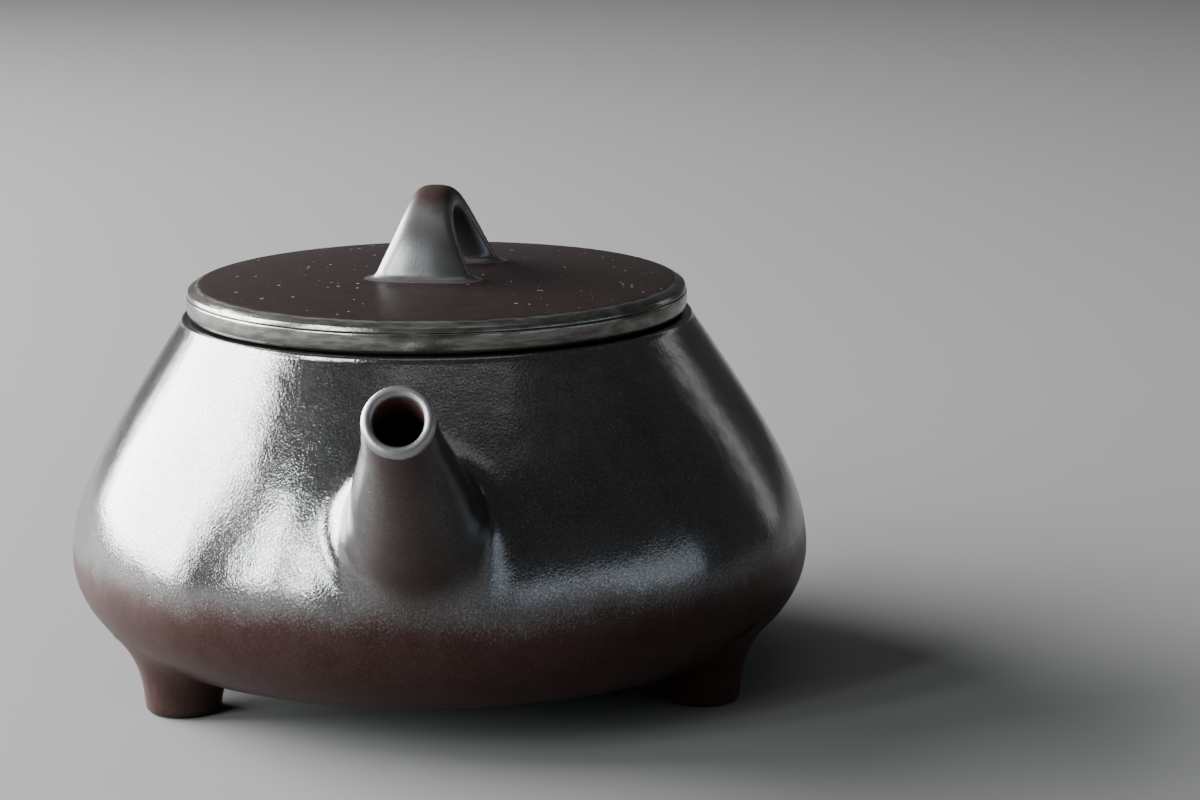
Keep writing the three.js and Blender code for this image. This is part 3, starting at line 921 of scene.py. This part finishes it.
class TEAPOT_OT_base(TeapotBuilder, bpy.types.Operator):
    """Builds the base disc, slightly hollow underneath"""

    bl_idname = "teapot.base"
    bl_label = "Base Disc"

    def execute(self, context):
        s, c = context.scene.teapot_sizes, context.scene.teapot_colours
        edge = s.base_radius - SEAM
        outer = pot_outline(s)
        under = joined(outer[:np.argmax(outer[:, 0] > edge)], [(edge, s.base_height)])
        top = s.base_height + s.base_thickness
        floor = [(edge, top), (edge - 4 * MM, top - 0.1 * MM),
                 (edge - 14 * MM, top - 0.25 * MM), (0, top - 0.3 * MM)]
        piece = lathe("base_disc_skin", joined(under, floor), 224, math.radians(40))
        hand_shaped(piece, s)
        second_finish(piece, [face.normal.z > 0.5 for face in piece.data.polygons])
        return self.finish_piece(
            piece, "base_disc", "pot", "red_brown_clay", lustre_clay(c), bare_clay(c)
        )


class TEAPOT_OT_mouth(TeapotBuilder, bpy.types.Operator):
    """Builds the ring round the mouth, on which the lid lies"""

    bl_idname = "teapot.mouth"
    bl_label = "Mouth Ring"

    def execute(self, context):
        s, c = context.scene.teapot_sizes, context.scene.teapot_colours
        foot = s.mouth_height - s.mouth_ring
        _, outer = split_at(pot_outline(s), foot)
        bore = s.mouth_radius - s.mouth_ledge
        edge = 0.5 * MM
        inner_edge = arc((bore + edge, s.mouth_height - edge), (edge, edge), 90, 180, 8)
        low_edge = arc((bore + edge, foot + edge), (edge, edge), 180, 270, 6)
        piece = lathe("mouth_ring_skin", joined(outer, inner_edge, low_edge), 288, math.radians(60))
        return self.finish_piece(piece, "mouth_ring", "pot", "dark_gloss_clay", lustre_clay(c))


class TEAPOT_OT_spout(TeapotBuilder, bpy.types.Operator):
    """Builds the spout, with its lip, its bore and the smoothed joint to the wall"""

    bl_idname = "teapot.spout"
    bl_label = "Spout"

    def execute(self, context):
        s, c = context.scene.teapot_sizes, context.scene.teapot_colours
        columns = 72
        depth = spout_length(s)
        widening = s.spout_root_bore - s.spout_bore
        lip_radius = (s.spout_tip - s.spout_bore) / 2
        lip = arc((s.spout_bore + lip_radius, lip_radius), (lip_radius, -lip_radius), 180, 0, 13)
        cone = bezier([(s.spout_neck, s.spout_neck_length),
                       (s.spout_neck + 0.4 * MM, s.spout_neck_length + depth * 0.22),
                       (s.spout_root - 0.7 * MM, depth * 0.7),
                       (s.spout_root, depth + s.spout_root)], 160)
        neck = bezier([(s.spout_tip, lip_radius), (s.spout_tip + 0.1 * MM, s.spout_neck_length * 0.5),
                       (s.spout_neck - 0.05 * MM, s.spout_neck_length * 0.8),
                       (s.spout_neck, s.spout_neck_length)], 40)
        profile = joined(neck, cone)
        dense = spout_rings(s, profile[:, 0], profile[:, 1], columns)
        stop, fillet = rooted(dense, pot_host(s), s.spout_fillet)
        shaft = [sampled(dense, stop * k / 40) for k in range(1, 41)]
        rim = spout_rings(s, lip[:, 0], lip[:, 1], columns)
        t = np.linspace(1, 0, 16)
        channel = spout_rings(s, s.spout_bore + widening * t, depth * t + lip_radius * (1 - t), columns)
        rings = np.vstack([rim, shaft, fillet, channel[:-1]])
        piece = new_object("spout_skin", *skin(rings, loop=True), math.radians(60))
        hand_shaped(piece, s)
        origin, _, _, out = spout_axes(s)
        away = np.array([face.center for face in piece.data.polygons]) - origin
        outward = away @ out
        from_axis = np.linalg.norm(away - outward[:, None] * out, axis=1)
        bore = s.spout_bore + widening * np.maximum(-outward, 0) / depth
        second_finish(piece, (from_axis < bore + 0.2 * MM) & (outward < -0.9 * lip_radius))
        return self.finish_piece(
            piece, "spout", "pot", "dark_gloss_clay", lustre_clay(c), bare_clay(c)
        )


class TEAPOT_OT_strainer(TeapotBuilder, bpy.types.Operator):
    """Builds the pierced dome behind the spout"""

    bl_idname = "teapot.strainer"
    bl_label = "Strainer"

    def execute(self, context):
        s, c = context.scene.teapot_sizes, context.scene.teapot_colours
        origin, _, _, out = spout_axes(s)
        root = origin - spout_length(s) * out
        foot, normal, _ = pot_host(s).nearest(root[None])
        inward = -normal[0]
        middle = foot[0] + inward * s.wall
        outer = s.strainer_radius
        inner = outer - s.strainer_thickness
        dome = joined(arc((0, 0), (outer, outer), -12, 90, 26), arc((0, 0), (inner, inner), 90, -12, 22))
        piece = lathe("strainer_dome", np.maximum(dome, [0, -1]), 96, math.radians(50))
        to_wall = Vector((0, 0, 1)).rotation_difference(Vector(inward)).to_matrix().to_4x4()
        cutter = bmesh.new()
        to_shell = Matrix.Translation((0, 0, inner + s.strainer_thickness / 2))
        for tilt, holes in ((0, 1), (26, 6), (51, 10)):
            tilted = Matrix.Rotation(math.radians(tilt), 4, "X") @ to_shell
            for i in range(holes):
                bmesh.ops.create_cone(
                    cutter, cap_ends=True, segments=20, radius1=s.strainer_hole, radius2=s.strainer_hole,
                    depth=3 * s.strainer_thickness, matrix=Matrix.Rotation(TAU * i / holes, 4, "Z") @ tilted
                )
        drill = bpy.data.meshes.new("drills")
        cutter.to_mesh(drill)
        cutter.free()
        drills = bpy.data.objects.new("drills", drill)
        bpy.context.scene.collection.objects.link(drills)
        boolean_cut(piece, drills)
        smooth(piece, math.radians(40))
        piece.data.transform(Matrix.Translation(middle) @ to_wall)
        return self.finish_piece(piece, "spout_strainer", "pot", "bare_inner_clay", bare_clay(c))


class TEAPOT_OT_handle(TeapotBuilder, bpy.types.Operator):
    """Builds the loop handle, smoothed into the wall at both ends"""

    bl_idname = "teapot.handle"
    bl_label = "Handle"

    def execute(self, context):
        s, c = context.scene.teapot_sizes, context.scene.teapot_colours
        outline = pot_outline(s)
        wall = outline[outline[:, 1] > s.belly_height]
        top_z = s.mouth_height - s.handle_top
        low_z = s.belly_height + s.handle_low
        corner = s.mouth_height - s.handle_corner
        top_r, low_r = np.interp([top_z, low_z], wall[:, 1], wall[:, 0]) - s.wall / 2
        far = s.handle_reach - s.handle_depth
        drop = corner - low_z
        points = [
            (0, top_r, top_z),
            (0, top_r + (far - top_r) * 0.35, corner - 0.6 * MM),
            (0, top_r + (far - top_r) * 0.72, corner - 0.4 * MM),
            (0, far - 1.2 * MM, corner - drop * 0.16),
            (0, far - 1.2 * MM, corner - drop * 0.36),
            (0, low_r + (far - low_r) * 0.62, corner - drop * 0.68),
            (0, low_r, low_z),
        ]
        path = curve_through(points, 60)
        into_wall = np.array([path[0] - path[1], path[-1] - path[-2]])
        into_wall *= 2 * s.wall / np.linalg.norm(into_wall, axis=1)[:, None]
        path = np.vstack([path[0] + into_wall[0], path, path[-1] + into_wall[1]])

        def size(t):
            swell = 1 + 0.3 * np.abs(2 * t - 1) ** 4
            return s.handle_width * swell, s.handle_depth * swell

        dense = tube(path, (1, 0, 0), size, squareness=0.92, columns=56, rows=500)
        rings = bridged(dense, pot_host(s), s.handle_fillet, 110)
        piece = new_object("handle_skin", *skin(rings), math.radians(60))
        hand_shaped(piece, s)
        return self.finish_piece(piece, "handle", "pot", "dark_gloss_clay", lustre_clay(c))


class TEAPOT_OT_feet(TeapotBuilder, bpy.types.Operator):
    """Builds the three stub feet, smoothed into the underside"""

    bl_idname = "teapot.feet"
    bl_label = "Feet"

    def execute(self, context):
        s, c = context.scene.teapot_sizes, context.scene.teapot_colours
        host = pot_host(s)
        top = s.belly_height - 4.7 * MM
        edge = arc((s.foot_sole - s.foot_edge, s.foot_edge), (s.foot_edge, s.foot_edge), -90, 0, 12)
        side = bezier([(s.foot_sole, s.foot_edge), (s.foot_sole + 0.5 * MM, top / 2),
                       (s.foot_top, top)], 120)
        sole = np.vstack([(s.foot_sole * 0.4, 0.0), edge])
        for name, bearing in {"foot_front_left": 210, "foot_front_right": 330, "foot_rear": 90}.items():
            turn = math.radians(bearing) + s.foot_turn
            middle = s.foot_circle * np.array([math.cos(turn), math.sin(turn), 0])
            dense = middle + upright_rings(side, 64)
            stop, fillet = rooted(dense, host, s.foot_fillet)
            shaft = [sampled(dense, stop * k / 16) for k in range(1, 17)]
            rings = np.vstack([middle + upright_rings(sole, 64), shaft, fillet])
            piece = new_object(name + "_skin", *skin(rings), math.radians(50))
            self.finish_piece(piece, name, "pot", "red_brown_clay", lustre_clay(c))
        return {"FINISHED"}


class TEAPOT_OT_lid(TeapotBuilder, bpy.types.Operator):
    """Builds the lid's disc, its rolled edge ring and its flange"""

    bl_idname = "teapot.lid"
    bl_label = "Lid"

    def execute(self, context):
        s, c = context.scene.teapot_sizes, context.scene.teapot_colours
        crown, edge = lid_top_outline(s)
        crease = lid_foot(s) + s.lid_crease
        low_edge, high_edge = split_at(edge[::-1], crease)

        def into_crease(radius, up):
            """Rounds an edge of this radius into the crease, from above it (up 1) or from below (-1)."""
            return [(radius - 0.03 * MM, crease + up * 0.07 * MM), (radius - 0.1 * MM, crease + up * HAIR)]

        crown = crown[crown[:, 0] > s.vent]
        vent_top = [(s.vent, crown[0, 1] - 0.2 * MM), (s.vent + 0.2 * MM, crown[0, 1])]
        rim = high_edge[::-1]
        turn_in = into_crease(rim[-1, 0], 1)
        rim = rim[rim[:, 1] > crease + 0.14 * MM]
        disc = joined(vent_top, crown, rim, turn_in, [(s.vent, crease + HAIR)])
        piece = self.turned_piece("lid_disc_skin", disc, s)
        second_finish(piece, [
            face.normal.z < -0.9 or math.hypot(*face.center[:2]) < s.vent * 1.05
            for face in piece.data.polygons
        ])
        self.finish_piece(piece, "lid_disc", "lid", "satin_lid_clay", lid_band_clay(c), bare_clay(c))

        flange_radius = s.mouth_radius - s.mouth_ledge - s.flange_play
        bore = flange_radius + SEAM
        ring_top = into_crease(low_edge[-1, 0], -1)
        low_run = low_edge[low_edge[:, 1] < crease - 0.14 * MM]
        ring = joined([(bore, lid_foot(s))], low_run, ring_top, [(bore, crease - HAIR)])
        piece = self.turned_piece("lid_edge_ring_skin", ring, s)
        self.finish_piece(piece, "lid_edge_ring", "lid", "dark_gloss_clay", lid_band_clay(c))

        foot = s.mouth_height - s.flange_depth
        inside = flange_radius - s.flange
        r = 0.55 * MM
        outer_edge = arc((flange_radius - r, foot + r), (r, r), -90, 0, 8)
        inner_edge = arc((inside + r, foot + r), (r, r), 180, 270, 8)
        top = [(flange_radius, crease - HAIR), (inside, crease - HAIR)]
        piece = lathe("lid_flange_skin", joined(inner_edge, outer_edge, top), 224, math.radians(60))
        return self.finish_piece(piece, "lid_flange", "lid_lifter", "bare_inner_clay", bare_clay(c))

    def turned_piece(self, name, outline, s):
        """A lathed piece of the lid, turned as the lid lies."""
        piece = lathe(name, outline, 288, math.radians(60))
        turned_about_axis(piece, s.lid_turn)
        return piece


class TEAPOT_OT_knob(TeapotBuilder, bpy.types.Operator):
    """Builds the knob, a bridge that stands on two spread feet"""

    bl_idname = "teapot.knob"
    bl_label = "Knob"

    def execute(self, context):
        s, c = context.scene.teapot_sizes, context.scene.teapot_colours
        crown, edge = lid_top_outline(s)
        host = Turned(joined(edge[::-1], crown[::-1]))
        sunk = 1 * MM
        foot = lid_foot(s) + s.lid_edge - sunk
        rise = s.knob_rise + sunk - s.knob_thickness
        a = np.linspace(0, math.pi, 241)
        path = np.column_stack([0 * a, -s.knob_span * np.cos(a), foot + rise * np.sin(a)])
        deeper = np.array([0, 0, 2 * MM])
        path = np.vstack([path[0] - deeper, path, path[-1] - deeper])

        def size(t):
            bow = np.sin(np.clip((t - 0.05) / 0.9, 0, 1) * math.pi)
            width = s.knob_foot_width + (s.knob_width - s.knob_foot_width) * bow
            return width, s.knob_foot_thickness + (s.knob_thickness - s.knob_foot_thickness) * bow

        dense = tube(path, (1, 0, 0), size, squareness=0.78, columns=72, rows=500)
        rings = bridged(dense, host, s.knob_fillet, 90)
        piece = new_object("lid_knob_skin", *skin(rings), math.radians(60))
        turned_about_axis(piece, s.lid_turn)
        return self.finish_piece(piece, "lid_knob", "lid", "dark_gloss_clay", knob_clay(c))


class TEAPOT_OT_stage(TeapotBuilder, bpy.types.Operator):
    """Builds the floor, the lights and the camera"""

    bl_idname = "teapot.stage"
    bl_label = "Stage"

    def execute(self, context):
        c = context.scene.teapot_colours
        half = 4.0  # metres
        corners = [(-half, -half, 0), (half, -half, 0), (half, half, 0), (-half, half, 0)]
        floor = new_object("floor", corners, [(0, 1, 2, 3)])
        floor.location.z = -HAIR
        floor.data.materials.append(floor_finish(c))
        self.backdrop(context, (0.075, 0.078, 0.082))
        # name, azimuth, height angle, distance, width, height, radiance, colour
        for lamp in (
            ("window", -107, 22, 0.95, 0.96, 0.66, 36, (0.96, 0.98, 1.0)),
            ("window_strip", -55, 22, 1.0, 0.09, 0.50, 50, (0.9, 0.96, 1.0)),
            ("window_edge", -40, 20, 1.0, 0.06, 0.44, 52, (0.9, 0.96, 1.0)),
            ("low_bounce", 57, 9, 1.1, 1.5, 0.32, 1.05, (0.72, 0.86, 1.0)),
            ("back_streak", 130, 14, 1.2, 0.08, 0.6, 2.0, (0.95, 0.97, 1.0)),
            ("overhead", 10, 76, 1.3, 1.0, 0.9, 0.55, (1.0, 0.98, 0.95)),
        ):
            self.soft_lamp(context, *lamp)
        self.camera(context)
        return {"FINISHED"}

    def backdrop(self, context, tone):
        world = bpy.data.worlds.new("studio")
        world.use_nodes = True
        world.node_tree.nodes["Background"].inputs[0].default_value = (*tone, 1)
        context.scene.world = world

    def soft_lamp(self, context, name, azimuth, rise, distance, width, tall, radiance, tone):
        """A rectangular soft light that faces the pot. Azimuth 0 is in front, 90 at the pot's right."""
        a, e = math.radians(azimuth), math.radians(rise)
        way = Vector((math.sin(a) * math.cos(e), -math.cos(a) * math.cos(e), math.sin(e)))
        data = bpy.data.lights.new(name, "AREA")
        data.shape = "RECTANGLE"
        data.size, data.size_y = width, tall
        data.energy = radiance * math.pi * width * tall
        data.color = tone
        lamp = bpy.data.objects.new(name, data)
        pot_middle = Vector((0, 0, 30 * MM))
        lamp.location = pot_middle + way * distance
        lamp.rotation_mode = "QUATERNION"
        lamp.rotation_quaternion = (-way).to_track_quat("-Z", "Y")
        context.scene.collection.objects.link(lamp)

    def camera(self, context):
        """Looks a little down on the pot, from straight ahead of the spout and just to its right."""
        bearing, distance, height = math.radians(3.85), 0.427, 0.1234
        down, roll, pan = (math.radians(degrees) for degrees in (11.6683, 0.4102, 0.9444))
        data = bpy.data.cameras.new("camera")
        data.lens, data.sensor_width = 100, 36
        data.clip_start, data.clip_end = 0.01, 20
        camera = bpy.data.objects.new("camera", data)
        camera.location = distance * math.sin(bearing), -distance * math.cos(bearing), height
        camera.rotation_euler = math.pi / 2 - down, roll, pan
        context.scene.collection.objects.link(camera)
        context.scene.camera = camera


class TEAPOT_PT_panel(bpy.types.Panel):
    """Lists the teapot's operators, sizes and colours"""

    bl_idname = "TEAPOT_PT_panel"
    bl_label = "Teapot"
    bl_space_type = "VIEW_3D"
    bl_region_type = "UI"
    bl_category = "Teapot"

    def draw(self, context):
        column = self.layout.column(align=True)
        for operator in OPERATORS:
            column.operator(operator.bl_idname)
        for settings in (context.scene.teapot_sizes, context.scene.teapot_colours):
            box = self.layout.box()
            for name in settings.__annotations__:
                box.prop(settings, name)


OPERATORS = (
    TEAPOT_OT_stage,
    TEAPOT_OT_body_wall,
    TEAPOT_OT_base,
    TEAPOT_OT_mouth,
    TEAPOT_OT_spout,
    TEAPOT_OT_strainer,
    TEAPOT_OT_handle,
    TEAPOT_OT_feet,
    TEAPOT_OT_lid,
    TEAPOT_OT_knob,
)
CLASSES = (TeapotSizes, TeapotColours, *OPERATORS, TEAPOT_PT_panel)


def register():
    for cls in CLASSES:
        bpy.utils.register_class(cls)
    bpy.types.Scene.teapot_sizes = bpy.props.PointerProperty(type=TeapotSizes)
    bpy.types.Scene.teapot_colours = bpy.props.PointerProperty(type=TeapotColours)


def unregister():
    del bpy.types.Scene.teapot_colours
    del bpy.types.Scene.teapot_sizes
    for cls in reversed(CLASSES):
        bpy.utils.unregister_class(cls)


def main():
    register()
    for operator in OPERATORS:
        getattr(bpy.ops.teapot, operator.bl_idname.split(".")[1])()


if __name__ == "__main__":
    main()
